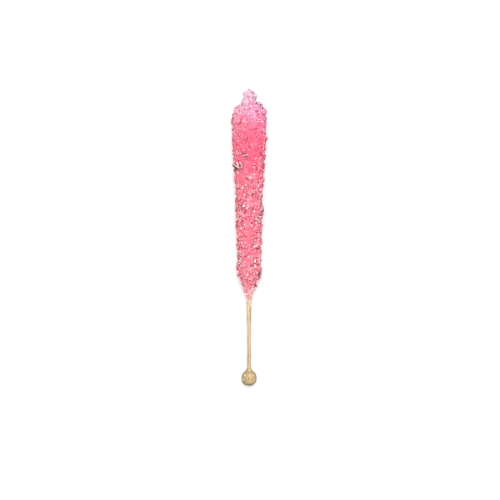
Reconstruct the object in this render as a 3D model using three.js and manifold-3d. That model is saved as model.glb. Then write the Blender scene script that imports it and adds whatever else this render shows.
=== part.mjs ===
// Rock candy on a wooden stick: sugar crystals grown in a club shape round the upper
// two thirds of a thin stick, with a knob of clear crystal on its tip and a wooden
// ball glued to its lower end. It lies on its side, on the sugar and the ball.
//
// Millimetres, +Z up. The stick runs along +Y, from the ball to the sugar's tip, and
// rises a little on the way, because the sugar's far end is thicker than the ball.
// The origin is the bottom centre of the whole object's bounding box.
//
// Each piece is shaped in the stick's own frame first: y is the height along the
// stick from the ball's outer end, x runs across it, and z points to the upper side.
import * as THREE from "three";
import { mergeVertices } from "three/addons/utils/BufferGeometryUtils.js";
import Module from "manifold-3d";

const wasm = await Module();
wasm.setup();
const radians = THREE.MathUtils.degToRad;
const weld = 1e-4; // corners closer than this are one

// ---------- driving dimensions ----------
const overallLength = 165;
const ballDiameter = 8.6;
const stickDiameterAtBall = 2.4;
const stickDiameterAtSugar = 2.9;
const stickSides = 24;
const socketDepth = 6.5; // how far the stick goes into the ball
const gap = 0.3; // clearance between the stick and what it is fixed in
const knobHeight = 9; // the clear knob, above the end of the stick
const stickEnd = overallLength - knobHeight - 1;

// The sugar's outline: the radius that the crystals' outer corners reach, at stations
// along the stick. It starts as a thin glaze, swells, is waisted twice, is widest near
// the top, and rounds off in a shoulder under the knob.
const sugarOutline = [
  [47.5, 1.95],
  [50.5, 2.6],
  [54.0, 3.6],
  [57.0, 5.0],
  [60.0, 6.6],
  [65.5, 7.3],
  [76.0, 7.1],
  [84.5, 7.6],
  [91.0, 7.5],
  [98.0, 8.3],
  [105.5, 7.7],
  [114.0, 8.7],
  [122.0, 8.7],
  [131.0, 9.5],
  [140.0, 9.9],
  [148.0, 10.3],
  [152.0, 9.8],
  [154.6, 8.2],
  [156.2, 4.6],
];
const lopsided = 0.015; // how much thicker the sugar is towards +x, as a share of its radius
const sugarStart = sugarOutline[0][0];
const sugarShoulder = sugarOutline.at(-1)[0];
const crustStart = sugarStart + 2; // the middles of the lowest crystals
const crustEnd = sugarShoulder - 2.2; // and of the highest

// ---------- crystals ----------
const crystalCount = 236;
const crystalLength = [2.4, 4.2]; // shortest and longest
const crystalWidthShare = [0.6, 0.9]; // of its length
const crystalThicknessShare = [0.45, 0.75]; // of its length
const crystalDepth = [-0.2, 0.4]; // how far a crystal's outer corner stays inside the outline
const coreDepth = 1.0; // how far the solid core stays inside the outline
const coreRelief = [-0.4, 0.4]; // how far the core's own corners are moved
const coreRings = 34;
const coreSides = 16;
const coreShare = 0.8; // the core's radius where the sugar is thin, as a share of the outline
const fullGrown = 6.2; // where the outline is narrower than this, the crystals are smaller
const leastGrown = 0.35; // of their full size, where the outline is narrowest
const alongStray = [-0.6, 0.6]; // how far a crystal strays from its even place on the crust
const aroundStray = [-0.12, 0.12]; // radians
const ringStray = [-0.2, 0.2]; // of the step between neighbours in a ring

// Single crystals that stand out of the outline. Along is the height along the stick, around
// the angle from the upper side towards +x, out how far the corner reaches from the axis.
const spurs = [
  { along: 155.2, around: 80, out: 7.9, length: 4.0, tilt: 75 },
  { along: 151.6, around: 76, out: 10.2, length: 5.0, tilt: 60 },
  { along: 136.8, around: 92, out: 10.9, length: 2.7, tilt: 45 },
  { along: 144.0, around: 200, out: 10.2, length: 4.2, tilt: 15 },
  { along: 110.0, around: 150, out: 8.4, length: 3.8, tilt: 65 },
  { along: 102.0, around: -88, out: 7.9, length: 3.4, tilt: 25 },
  { along: 97.8, around: 86, out: 8.5, length: 4.0, tilt: 70 },
  { along: 88.0, around: 95, out: 7.9, length: 3.6, tilt: 45 },
  { along: 78.0, around: 215, out: 7.4, length: 3.6, tilt: 35 },
  { along: 65.8, around: -90, out: 7.4, length: 3.8, tilt: 30 },
];

// The crystals that stand on the shoulder, round the foot of the knob.
const shoulderRing = { radius: 5.6, height: 155.8, crystals: 8 };

// A crystal grown in steps: parallel plates side by side, on the left of the upper side.
const steppedCrystal = {
  plates: 3,
  size: new THREE.Vector3(3.8, 0.9, 3.6),
  apart: 1.25,
  step: 0.35, // how much lower each plate is than the one before
  along: 123.0,
  around: -62,
  out: 9.2,
  slope: -34, // of the plates' edges, seen from above
};

// The knob: one large block standing on a corner, with two rings of smaller crystals grown
// round it, each at a depth below the tip. It sits a little to one side of the stick.
const knobBlock = new THREE.Vector3(4.8, 5.0, 5.0);
const knobTurn = new THREE.Euler(0, radians(160), radians(30));
const knobAside = 0.55; // towards +x
const knobRings = [
  { below: 3.9, radius: 3.9, crystals: 5 },
  { below: 6.4, radius: 4.0, crystals: 5 },
];
const knobCrystalLength = [3.2, 4.0];

// ---------- helpers ----------
let randomState = 13;
function random() {
  randomState = (randomState + 0x6d2b79f5) | 0;
  let t = Math.imul(randomState ^ (randomState >>> 15), 1 | randomState);
  t = (t + Math.imul(t ^ (t >>> 7), 61 | t)) ^ t;
  return ((t ^ (t >>> 14)) >>> 0) / 4294967296;
}

const between = ([low, high]) => low + (high - low) * random();

function outlineAt(along) {
  const next = sugarOutline.findIndex(([station]) => station >= along);
  if (next === 0) return sugarOutline[0][1];
  if (next < 0) return sugarOutline.at(-1)[1];
  const [a, ra] = sugarOutline[next - 1];
  const [b, rb] = sugarOutline[next];
  return THREE.MathUtils.mapLinear(along, a, b, ra, rb);
}

function toSolid(geometry) {
  const bare = geometry.clone();
  bare.deleteAttribute("normal");
  bare.deleteAttribute("uv");
  const merged = mergeVertices(bare, weld);
  return new wasm.Manifold(
    new wasm.Mesh({
      numProp: 3,
      vertProperties: merged.attributes.position.array,
      triVerts: new Uint32Array(merged.index.array),
    }),
  );
}

function toGeometry(solid) {
  const { vertProperties, triVerts } = solid.getMesh();
  const geometry = new THREE.BufferGeometry();
  geometry.setAttribute("position", new THREE.BufferAttribute(vertProperties, 3));
  geometry.setIndex(new THREE.BufferAttribute(triVerts, 1));
  const flat = geometry.toNonIndexed();
  flat.computeVertexNormals();
  return flat;
}

// The solid without loose scraps, and with the hollows sealed between crystals filled.
function largestBody(solid) {
  return solid.decompose().reduce((a, b) => (b.volume() > a.volume() ? b : a));
}

// One crystal of unit size: a block with one long edge cut off and slanting ends, leaning
// over as sugar crystals do.
function unitCrystal() {
  const section = new THREE.Shape([
    new THREE.Vector2(-0.5, -0.5),
    new THREE.Vector2(0.5, -0.5),
    new THREE.Vector2(0.5, 0.12),
    new THREE.Vector2(0.08, 0.5),
    new THREE.Vector2(-0.5, 0.5),
  ]);
  const block = new THREE.ExtrudeGeometry(section, { depth: 1, bevelEnabled: false });
  block.translate(0, 0, -0.5).rotateX(Math.PI / 2);
  const lean = 0.28;
  const slant = 0.16;
  return block.applyMatrix4(new THREE.Matrix4().makeShear(lean, 0, 0, 0, 0, slant));
}
const crystalShape = unitCrystal();

// A crystal of a given size and turn, its highest corner at z = 0.
function turnedCrystal(size, turn) {
  const crystal = crystalShape.clone().scale(size.x, size.y, size.z);
  crystal.applyMatrix4(new THREE.Matrix4().makeRotationFromEuler(turn));
  crystal.computeBoundingBox();
  return crystal.translate(0, 0, -crystal.boundingBox.max.z);
}

// A crystal whose outermost corner reaches the radius out, at the height along and the
// angle around.
function placedCrystal({ along, around, out, size, turn }) {
  return turnedCrystal(size, turn).translate(0, 0, out).rotateY(around).translate(0, along, 0);
}

function crystalSize(length) {
  return new THREE.Vector3(
    length * between(crystalWidthShare),
    length,
    length * between(crystalThicknessShare),
  );
}

function anyTurn() {
  const angle = () => between([0, 2 * Math.PI]);
  return new THREE.Euler(angle(), angle(), angle());
}

// The angle of one of a ring of crystals, about evenly spaced.
function ringAngle(i, crystals) {
  return ((i + between(ringStray)) / crystals) * 2 * Math.PI;
}

// ---------- sugar ----------
// The core is a faceted lump: a turned shape whose corners are moved at random where it is
// thick enough.
function sugarCore() {
  const profile = [new THREE.Vector2(0, sugarStart)];
  for (let i = 0; i <= coreRings; i++) {
    const along = THREE.MathUtils.mapLinear(i, 0, coreRings, sugarStart, sugarShoulder);
    const radius = outlineAt(along);
    profile.push(new THREE.Vector2(Math.max(radius - coreDepth, coreShare * radius), along));
  }
  profile.push(new THREE.Vector2(0, sugarShoulder + 1));
  const core = new THREE.LatheGeometry(profile, coreSides);
  core.deleteAttribute("normal");
  core.deleteAttribute("uv");
  const lump = mergeVertices(core, weld);
  const corners = lump.getAttribute("position");
  const corner = new THREE.Vector3();
  for (let i = 0; i < corners.count; i++) {
    corner.fromBufferAttribute(corners, i);
    const radius = Math.hypot(corner.x, corner.z);
    if (radius < stickDiameterAtSugar) continue;
    const moved = 1 + between(coreRelief) / radius;
    const x = corner.x * moved + lopsided * radius;
    corners.setXYZ(i, x, corner.y + between(coreRelief), corner.z * moved);
  }
  return toSolid(lump);
}

// Crystals all over the core, on a spiral that takes equal steps of surface.
function crustCrystals() {
  const steps = 400;
  const area = [0];
  const alongAt = (i) => THREE.MathUtils.mapLinear(i, 0, steps, crustStart, crustEnd);
  for (let i = 1; i <= steps; i++) area.push(area[i - 1] + outlineAt(alongAt(i)));
  const goldenTurn = Math.PI * (3 - Math.sqrt(5));
  const crystals = [];
  for (let i = 0; i < crystalCount; i++) {
    const share = ((i + 0.5) / crystalCount) * area[steps];
    const along = alongAt(area.findIndex((sum) => sum >= share));
    const outline = outlineAt(along);
    const grown = Math.min(1, leastGrown + ((1 - leastGrown) * outline) / fullGrown);
    const around = i * goldenTurn + between(aroundStray);
    const reach = outline * (1 + lopsided * Math.sin(around));
    crystals.push(
      placedCrystal({
        along: along + between(alongStray),
        around,
        out: reach - between(crystalDepth) * grown,
        size: crystalSize(between(crystalLength) * grown),
        turn: anyTurn(),
      }),
    );
  }
  return crystals;
}

function shoulderCrystals() {
  const { radius, height, crystals } = shoulderRing;
  return Array.from({ length: crystals }, (_, i) => {
    const crystal = turnedCrystal(crystalSize(between(crystalLength)), anyTurn());
    crystal.rotateX(-Math.PI / 2).translate(0, height + between([-0.3, 0.3]), radius);
    return crystal.rotateY(ringAngle(i, crystals));
  });
}

function spurCrystals() {
  return spurs.map(({ along, around, out, length, tilt }) =>
    placedCrystal({
      along,
      around: radians(around),
      out,
      size: crystalSize(length),
      turn: new THREE.Euler(radians(90 - tilt), 0, between([0, Math.PI])),
    }),
  );
}

function steppedPlates() {
  const { plates, size, apart, step, along, around, out, slope } = steppedCrystal;
  return Array.from({ length: plates }, (_, i) => {
    const plate = crystalShape.clone().scale(size.x, size.y, size.z);
    plate.translate(0, (i - (plates - 1) / 2) * apart, out - size.z / 2 - step * i);
    return plate.rotateZ(radians(slope)).rotateY(radians(around)).translate(0, along, 0);
  });
}

function knob() {
  const block = crystalShape.clone().scale(knobBlock.x, knobBlock.y, knobBlock.z);
  block.applyMatrix4(new THREE.Matrix4().makeRotationFromEuler(knobTurn));
  block.computeBoundingBox();
  block.translate(knobAside, overallLength - block.boundingBox.max.y, 0);
  const around = knobRings.flatMap(({ below, radius, crystals }) =>
    Array.from({ length: crystals }, (_, i) =>
      placedCrystal({
        along: overallLength - below + between([-0.4, 0.4]),
        around: ringAngle(i, crystals),
        out: radius + between([-0.3, 0.1]),
        size: crystalSize(between(knobCrystalLength)),
        turn: anyTurn(),
      }).translate(knobAside, 0, 0),
    ),
  );
  return [block, ...around];
}

// ---------- wood ----------
// The stick, or the hole for it when it is made larger by extra.
function stickSolid(extra) {
  const radius = (diameter) => diameter / 2 + extra;
  const length = stickEnd - (ballDiameter - socketDepth) + 2 * extra;
  const rod = new THREE.CylinderGeometry(
    radius(stickDiameterAtSugar),
    radius(stickDiameterAtBall),
    length,
    stickSides,
  );
  return rod.translate(0, ballDiameter - socketDepth - extra + length / 2, 0);
}

// ---------- how it lies ----------
// The floor touches the ball and the sugar's widest part, whose outermost corners are
// worn flat by it.
const ballRadius = ballDiameter / 2;
const widest = sugarOutline.reduce((a, b) => (b[1] > a[1] ? b : a));
const wornFlat = 0.75;
const rise = Math.asin((widest[1] - wornFlat - ballRadius) / (widest[0] - ballRadius));

// A block whose upper face is the floor, in the stick's own frame: it touches the ball from
// below and slopes by the angle that the stick rises.
function floorBlock() {
  const depth = 20;
  const block = new THREE.BoxGeometry(3 * depth, 3 * overallLength, depth);
  block.translate(0, 0, -ballRadius - depth / 2).rotateX(-rise);
  return block.translate(0, ballRadius, 0);
}

function sugar() {
  let solid = sugarCore();
  const crystals = [
    ...crustCrystals(),
    ...shoulderCrystals(),
    ...spurCrystals(),
    ...steppedPlates(),
    ...knob(),
  ];
  for (const crystal of crystals) solid = solid.add(toSolid(crystal));
  solid = solid.subtract(toSolid(stickSolid(gap))).subtract(toSolid(floorBlock()));
  return toGeometry(largestBody(solid));
}

function ball() {
  const sphere = new THREE.SphereGeometry(ballRadius, 32, 20).translate(0, ballRadius, 0);
  return toGeometry(toSolid(sphere).subtract(toSolid(stickSolid(gap))));
}

// ---------- assembly ----------
const pinkSugar = new THREE.MeshStandardMaterial({ color: "#f6859a", roughness: 0.2, metalness: 0 });
const paleBirch = new THREE.MeshStandardMaterial({ color: "#e5d4b1", roughness: 0.6, metalness: 0 });
const goldenBirch = new THREE.MeshStandardMaterial({ color: "#cfb387", roughness: 0.4, metalness: 0 });

function piece(name, geometry, material) {
  const mesh = new THREE.Mesh(geometry, material);
  mesh.name = name;
  return mesh;
}

const lying = new THREE.Group();
lying.add(
  piece("sugar", sugar(), pinkSugar),
  piece("stick", stickSolid(0), paleBirch),
  piece("ball", ball(), goldenBirch),
);
lying.rotation.x = rise;

const rockCandy = new THREE.Group();
rockCandy.add(lying);
const box = new THREE.Box3().setFromObject(rockCandy, true);
const middle = box.getCenter(new THREE.Vector3());
lying.position.set(-middle.x, -middle.y, -box.min.z);

export default rockCandy;
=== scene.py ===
"""A stick of pink rock candy lying on a pale floor, under soft studio light.

Everything is in metres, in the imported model's frame: +Y runs along the stick from its wooden
ball to the sugar's tip, and +Z is up. "Along" is the distance from the ball's outer end.
"""

import logging
import math
from dataclasses import dataclass
from enum import Enum
from typing import Any, Callable, Sequence

import bpy
import numpy as np
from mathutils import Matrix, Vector
from mathutils.kdtree import KDTree


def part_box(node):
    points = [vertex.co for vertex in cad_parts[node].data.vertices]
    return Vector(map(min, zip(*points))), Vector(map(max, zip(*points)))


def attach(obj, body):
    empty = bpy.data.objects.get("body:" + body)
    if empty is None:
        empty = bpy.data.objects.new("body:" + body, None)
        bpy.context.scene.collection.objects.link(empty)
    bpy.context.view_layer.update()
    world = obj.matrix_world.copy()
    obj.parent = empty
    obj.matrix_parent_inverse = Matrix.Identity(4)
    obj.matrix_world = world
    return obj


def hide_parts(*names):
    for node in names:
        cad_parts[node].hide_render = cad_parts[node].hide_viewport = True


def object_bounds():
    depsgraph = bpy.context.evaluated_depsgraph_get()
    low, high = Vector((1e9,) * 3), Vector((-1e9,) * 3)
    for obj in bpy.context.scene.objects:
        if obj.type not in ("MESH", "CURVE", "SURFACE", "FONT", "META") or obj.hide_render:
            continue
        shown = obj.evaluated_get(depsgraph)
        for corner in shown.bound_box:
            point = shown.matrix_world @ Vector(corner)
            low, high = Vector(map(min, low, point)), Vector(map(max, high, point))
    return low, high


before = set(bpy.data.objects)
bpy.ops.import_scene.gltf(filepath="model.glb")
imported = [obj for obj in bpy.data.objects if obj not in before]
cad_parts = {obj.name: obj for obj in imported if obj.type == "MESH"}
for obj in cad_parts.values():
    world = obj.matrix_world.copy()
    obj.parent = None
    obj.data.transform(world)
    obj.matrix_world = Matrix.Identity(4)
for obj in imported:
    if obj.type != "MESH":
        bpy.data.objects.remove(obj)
cad_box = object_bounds()

MM = 0.001
# keeps lengths and areas of nothing out of divisions
TINY = 1e-20
# any large and unlike factors turn a direction into a number that looks random
MIXING_FACTORS = (12.99, 78.23, 37.72)
MIXING_SPREAD = 43758.5
LOG = logging.getLogger("rock_candy")

Pair = tuple[float, float]
Triple = tuple[float, float, float]
Colour = Triple
Thing = bpy.types.Object


def srgb(red: int, green: int, blue: int) -> Colour:
    """Returns the linear colour that shaders take, for one from 0 to 255 as a screen shows it."""
    shares = (channel / 255 for channel in (red, green, blue))
    return tuple(s / 12.92 if s <= 0.04045 else ((s + 0.055) / 1.055) ** 2.4 for s in shares)


# ---------- shader maths ----------


def operation(name: str, swapped: bool = False) -> Callable[["Signal", Any], "Signal"]:
    """Makes a method of Signal that adds a Math node.

    Args:
        name: What the node does with its two numbers.
        swapped: Whether the signal itself is the second of them.

    Returns:
        The method.
    """

    def method(self: "Signal", other: "Signal | float") -> "Signal":
        """Returns the result for the signal and another signal or number."""
        numbers = {0: other, 1: self} if swapped else {0: self, 1: other}
        return self.tree.node("ShaderNodeMath", {"operation": name}, numbers)

    return method


@dataclass(frozen=True)
class Signal:
    """A number that varies over a surface: a node's output that Python's signs work on.

    Attributes:
        tree: The shader that the socket is in.
        socket: The output.
    """

    tree: "Tree"
    socket: bpy.types.NodeSocket

    __add__ = __radd__ = operation("ADD")
    __sub__ = operation("SUBTRACT")
    __rsub__ = operation("SUBTRACT", swapped=True)
    __mul__ = operation("MULTIPLY")
    __truediv__ = operation("DIVIDE")
    at_most = operation("MINIMUM")
    at_least = operation("MAXIMUM")

    def between(self, low: float, high: float) -> "Signal":
        """Rises smoothly from 0 where the number is low to 1 where it is high.

        Args:
            low: Where the rise starts.
            high: Where it ends; less than low for a fall.

        Returns:
            The share, from 0 to 1.
        """
        settings = {"interpolation_type": "SMOOTHSTEP"}
        start, end = (low, high) if low < high else (high, low)
        rise = self.tree.node("ShaderNodeMapRange", settings, {0: self, 1: start, 2: end})
        return rise if low < high else 1 - rise


class Tree:
    """A material's node tree while it is being built."""

    def __init__(self, name: str) -> None:
        """Makes an empty material with a Principled shader.

        Args:
            name: The material's name.
        """
        self.material = bpy.data.materials.new(name)
        self.material.use_nodes = True
        self.nodes = self.material.node_tree.nodes
        self.shader = self.nodes["Principled BSDF"]
        self.point = self.node("ShaderNodeTexCoord", {}, {}, "Object")

    def node(
        self, kind: str, settings: dict[str, Any], values: dict[Any, Any], output: int | str = 0
    ) -> Signal:
        """Adds one node.

        Args:
            kind: The node's type.
            settings: Its options.
            values: A number, colour or link for each socket named or numbered.
            output: The output that is wanted.

        Returns:
            That output.
        """
        made = self.nodes.new(kind)
        for key, setting in settings.items():
            setattr(made, key, setting)
        for key, value in values.items():
            self.feed(made.inputs[key], value)
        return Signal(self, made.outputs[output])

    def ramp(self, place: Signal, stops: Sequence[tuple[float, Colour]]) -> Signal:
        """Adds a ramp of colours.

        Args:
            place: The place on the ramp, from 0 to 1.
            stops: Places on it and the colours there.

        Returns:
            The colour at the place.
        """
        colour = self.node("ShaderNodeValToRGB", {}, {0: place})
        elements = colour.socket.node.color_ramp.elements
        while len(elements) < len(stops):
            elements.new(1.0)
        for element, (spot, shown) in zip(elements, stops):
            element.position = spot
            element.color = (*shown, 1)
        return colour

    def feed(self, socket: bpy.types.NodeSocket, value: Any) -> None:
        """Links or sets one input socket.

        Args:
            socket: The input.
            value: A signal to link, or a constant.
        """
        if isinstance(value, Signal):
            self.material.node_tree.links.new(value.socket, socket)
        elif isinstance(value, tuple) and socket.type == "RGBA":
            socket.default_value = (*value, 1)
        else:
            socket.default_value = value

    def finish(self, **values: Any) -> bpy.types.Material:
        """Sets the shader's own sockets.

        Args:
            values: A constant or a signal for each socket, with _ for a space in its name.

        Returns:
            The finished material.
        """
        for key, value in values.items():
            self.feed(self.shader.inputs[key.replace("_", " ")], value)
        return self.material

    def mix(self, share: Signal | float, first: Any, second: Any, way: str = "MIX") -> Signal:
        """Mixes two colours, with that share of the second one, and returns the mixed one."""
        settings = {"data_type": "RGBA", "blend_type": way}
        return self.node("ShaderNodeMix", settings, {0: share, 6: first, 7: second}, 2)

    def noise(self, size: float, detail: float = 2.0, stretch: float = 1.0) -> Signal:
        """Adds noise in three dimensions.

        Args:
            size: The size of its patches, in metres.
            detail: How many finer octaves it has.
            stretch: How many times longer the patches are along Y.

        Returns:
            The noise, from 0 to 1.
        """
        scale = Vector((1, 1 / stretch, 1)) / size
        place = self.node("ShaderNodeMapping", {}, {"Vector": self.point, "Scale": scale})
        return self.node("ShaderNodeTexNoise", {}, {"Vector": place, "Scale": 1, "Detail": detail})

    def cells(self, size: float, stretch: float, warp: float, lean: float) -> Signal:
        """Adds slanting, curved cells, each with a random number of its own.

        Args:
            size: The cells' width, in metres.
            stretch: How many times longer than wide they are.
            warp: How far they are bent out of shape, in metres.
            lean: How far they lean from Y, in degrees.

        Returns:
            The number of the cell, from 0 to 1.
        """
        lumps = self.node("ShaderNodeTexNoise", {}, {"Vector": self.point, "Scale": 0.3 / size}, 1)
        moved = {0: lumps, 1: (warp, warp, warp), 2: self.point}
        bent = self.node("ShaderNodeVectorMath", {"operation": "MULTIPLY_ADD"}, moved)
        turn, scale = (0.3, 0.0, math.radians(lean)), Vector((1, stretch, 1)) * size
        values = {"Vector": bent, "Rotation": turn, "Scale": scale}
        place = self.node("ShaderNodeMapping", {"vector_type": "TEXTURE"}, values)
        colour = self.node("ShaderNodeTexVoronoi", {}, {"Vector": place, "Scale": 1}, "Color")
        return self.node("ShaderNodeSeparateColor", {}, {0: colour})

    def attribute(self, name: str) -> Signal:
        """Returns a number that is stored on the mesh under that name."""
        return self.node("ShaderNodeAttribute", {"attribute_name": name}, {}, "Fac")

    def rim(self, start: float, end: float, ragged: float = 0.0) -> Signal:
        """Finds the sides of a lying piece, as seen from above, where painted shade goes.

        Args:
            start: The upness that the sides start at.
            end: The upness where they are reached in full; below it they fade.
            ragged: How far their border wanders up and down, in upness.

        Returns:
            The share, from 0 to 1.
        """
        upness = self.attribute("upness")
        if ragged:
            upness = upness + (self.noise(2.5 * MM, detail=3) - 0.5) * 4 * ragged
        return upness.between(start, end) * (1 - upness.between(-0.1, -0.6) * 0.65)

    def along(self) -> Signal:
        """Returns the place along Y, in metres."""
        return self.node("ShaderNodeSeparateXYZ", {}, {0: self.point}, 1)

    def across(self) -> Signal:
        """Returns the place along X, in metres."""
        return self.node("ShaderNodeSeparateXYZ", {}, {0: self.point}, 0)

    def bump(self, height: Signal, strength: float, depth: float) -> Signal:
        """Returns the normal of heights from 0 to 1, where 1 is that depth in metres."""
        values = {"Strength": strength, "Distance": depth, "Height": height}
        return self.node("ShaderNodeBump", {}, values)


# ---------- finishes ----------


@dataclass(frozen=True)
class SugarFinish:
    """Clear coloured sugar: its colour along the stick, how clear and glossy it is, and the light
    and shade painted on it.

    Attributes:
        name: The material's name.
        stops: Places along the object, in millimetres of Y, and the colour there as a screen
            shows it.
        deep: The colour of the painted shade between crystals, also used for the painted dark specks
            inside them.
        side_shade: The colour of the painted shade low on the sides.
        frost: The colour of frosted crystals.
        roughness: Of the clearest and of the most frosted facets.
        see_through: The share of light that goes through.
        glow: The share of light that spreads inside.
        lean: How much pinker the sugar is painted on its right side than on its left, a painted tint
            of light reflected from round it.
        inner_sparkle: How much the painted sparkle of facets seen inside the sugar differs in
            lightness.
        limits: How dark and how light a facet's painted lightness can be.
        tint: How much of each colour a facet of the usual lightness lets through.
        rim: How dark the painted shade on the sides is.
        matting: Where the gloss starts to fade towards the tip and where it ends, in metres of Y.
    """

    name: str
    stops: tuple[tuple[float, int, int, int], ...]
    deep: Colour
    side_shade: Colour
    frost: Colour
    roughness: Pair = (0.08, 0.4)
    see_through: float = 0.15
    glow: float = 0.25
    lean: float = 0.35
    inner_sparkle: float = 1.5
    limits: Pair = (0.15, 1.1)
    tint: Colour = (0.96, 0.84, 0.86)
    rim: float = 0.32
    matting: Pair = (58 * MM, 66 * MM)

    def material(self) -> bpy.types.Material:
        """Builds the material, which reads the numbers stored on the mesh.

        Returns:
            The material.
        """
        tree = Tree(self.name)
        low, high = self.stops[0][0] * MM, self.stops[-1][0] * MM
        wander = (tree.noise(3 * MM, detail=4) - 0.5) * 10 * MM
        place = (tree.along() + wander - low) / (high - low)
        stops = [((y * MM - low) / (high - low), srgb(*colour)) for y, *colour in self.stops]
        clear = tree.ramp(place, stops)
        relief, frost = tree.attribute("relief"), tree.attribute("frost")
        liveliness = tree.attribute("liveliness")
        # painted sparkle: cells that stand for facets seen inside the sugar, each painted lighter or
        # darker
        left, right = (
            tree.cells(0.55 * MM, stretch=2.6, warp=1.5 * MM, lean=lean) for lean in (50, -50)
        )
        cell = left + (right - left) * (tree.across() + wander * 0.3).between(-1 * MM, 1 * MM)
        clusters = tree.noise(5 * MM).between(0.46, 0.56)
        inside = (cell - 0.5) * liveliness * (clusters * 0.8 + 0.45) * self.inner_sparkle
        darkest, lightest = self.limits
        # painted light and shade: each facet's painted lightness, darker in crevices and lighter on
        # peaks, plus the painted inner sparkle
        light = (tree.attribute("facet") - relief * 0.12 + inside).at_least(darkest)
        shade = light.at_most(lightest)
        # painted tint: the right side pinker and the left warmer, as light reflected from round it
        # would make it
        side = tree.across() / (30 * MM) * self.lean
        red, green, blue = self.tint
        values = {0: shade * red, 1: shade * (green - side), 2: shade * blue}
        lit = tree.mix(1.0, clear, tree.node("ShaderNodeCombineXYZ", {}, values), "MULTIPLY")
        # painted glints in the lightest cells
        painted_glints = cell.between(0.84, 0.9) * clusters * liveliness * 0.7
        # painted sheen: facets lit past the usual lightness are mixed towards the frost colour, with
        # the painted glints
        white = (frost + painted_glints + (light - 1).at_least(0.0) * 0.4).at_most(1.0)
        frosted = tree.mix(white, lit, self.frost)
        # painted dark specks in the darkest cells
        gaps = cell.between(0.18, 0.12) * clusters * liveliness * 0.6
        # painted shade: crevices and the painted dark specks are mixed towards the deep colour
        shaded = tree.mix(gaps.at_least(relief.between(0.1, 0.8) * 0.68), frosted, self.deep)
        # painted shade low on the sides, as seen from above
        colour = tree.mix(tree.rim(0.45, 0.1, ragged=0.3) * self.rim, shaded, self.side_shade)
        smooth, dull = self.roughness
        growth = tree.noise(0.35 * MM, detail=3)
        matt = tree.along().between(*self.matting)
        return tree.finish(
            Base_Color=colour,
            Roughness=frost * (dull - smooth) + growth * 0.06 + matt * 0.2 + smooth,
            IOR=1.54,
            Subsurface_Weight=self.glow,
            Subsurface_Radius=(1.0, 0.35, 0.42),
            Subsurface_Scale=0.35 * MM,
            Transmission_Weight=self.see_through,
            Coat_Weight=0.4 - matt * 0.38,
            Coat_Roughness=0.05,
            Normal=tree.bump(growth, strength=0.3, depth=0.06 * MM),
        )


@dataclass(frozen=True)
class WoodFinish:
    """Pale turned wood with fine grain along Y, and painted shade low on its sides.

    Attributes:
        name: The material's name.
        pale: The colour of the early wood.
        dark: The colour of the late wood.
        fleck: The colour of the pores and specks.
        side_shade: The colour of the painted shade low on the sides.
        grain: The width of the grain's bands, in metres.
        pores: The width of the pores.
        stretch: How many times longer than wide the grain is.
        varnish: The weight of the clear coat.
        roughness: Of the bare wood.
        stain: The colour that stains it, where the mesh says so; on the ball it also paints shade
            towards the foot end.
        sides: The upness where the painted shade on the sides starts and where it is reached in
            full.
    """

    name: str
    pale: Colour
    dark: Colour
    fleck: Colour
    side_shade: Colour
    grain: float
    pores: float
    stretch: float
    varnish: float
    roughness: float
    stain: Colour = srgb(244, 170, 170)
    sides: Pair = (0.5, 0.0)

    def material(self) -> bpy.types.Material:
        """Builds the material.

        Returns:
            The material.
        """
        tree = Tree(self.name)
        bands = tree.noise(self.grain, detail=4, stretch=self.stretch)
        pores = tree.noise(self.pores, stretch=self.stretch * 0.6)
        wood = tree.mix(bands.between(0.38, 0.62), self.pale, self.dark)
        flecked = tree.mix(pores.between(0.52, 0.64) * 0.9, wood, self.fleck)
        stained = tree.mix(tree.attribute("stain") * (bands * 0.6 + 0.4), flecked, self.stain)
        # painted shade low on the sides, as seen from above
        colour = tree.mix(tree.rim(*self.sides) * 0.8, stained, self.side_shade)
        return tree.finish(
            Base_Color=colour,
            Roughness=self.roughness + bands * 0.12,
            Coat_Weight=tree.attribute("upness").between(0.1, 0.7) * self.varnish,
            Specular_IOR_Level=0.25,
            Coat_Roughness=0.07,
            Normal=tree.bump(bands + pores * 0.5, strength=0.3, depth=0.05 * MM),
        )


@dataclass(frozen=True)
class FloorFinish:
    """Plain pale paper.

    Attributes:
        colour: Its colour.
    """

    colour: Colour = (0.96, 0.96, 0.96)

    def material(self) -> bpy.types.Material:
        """Builds the material.

        Returns:
            The material.
        """
        tree = Tree("pale_paper")
        fibres = tree.noise(2 * MM, detail=3)
        shaded = tuple(0.985 * channel for channel in self.colour)
        colour = tree.mix(fibres.between(0.3, 0.7), shaded, self.colour)
        return tree.finish(Base_Color=colour, Roughness=0.9 - fibres * 0.1, Specular_IOR_Level=0.2)


# ---------- shapes shared by the parts ----------


def only(thing: Thing) -> None:
    """Makes one object the only one selected, and active.

    Args:
        thing: The object.
    """
    bpy.ops.object.select_all(action="DESELECT")
    thing.select_set(True)
    bpy.context.view_layer.objects.active = thing


def start_editing(thing: Thing) -> None:
    """Opens a mesh for editing, with all of it selected.

    Args:
        thing: The object.
    """
    only(thing)
    bpy.ops.object.mode_set(mode="EDIT")
    bpy.ops.mesh.select_all(action="SELECT")


def apply_place(thing: Thing) -> None:
    """Moves an object's place, turn and scale into its mesh."""
    only(thing)
    bpy.ops.object.transform_apply(location=True, rotation=True, scale=True)


def placed(name: str, mesh: bpy.types.Mesh) -> Thing:
    """Puts a mesh into the scene.

    Args:
        name: The object's name.
        mesh: Its mesh.

    Returns:
        The object.
    """
    thing = bpy.data.objects.new(name, mesh)
    bpy.context.scene.collection.objects.link(thing)
    return thing


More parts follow.
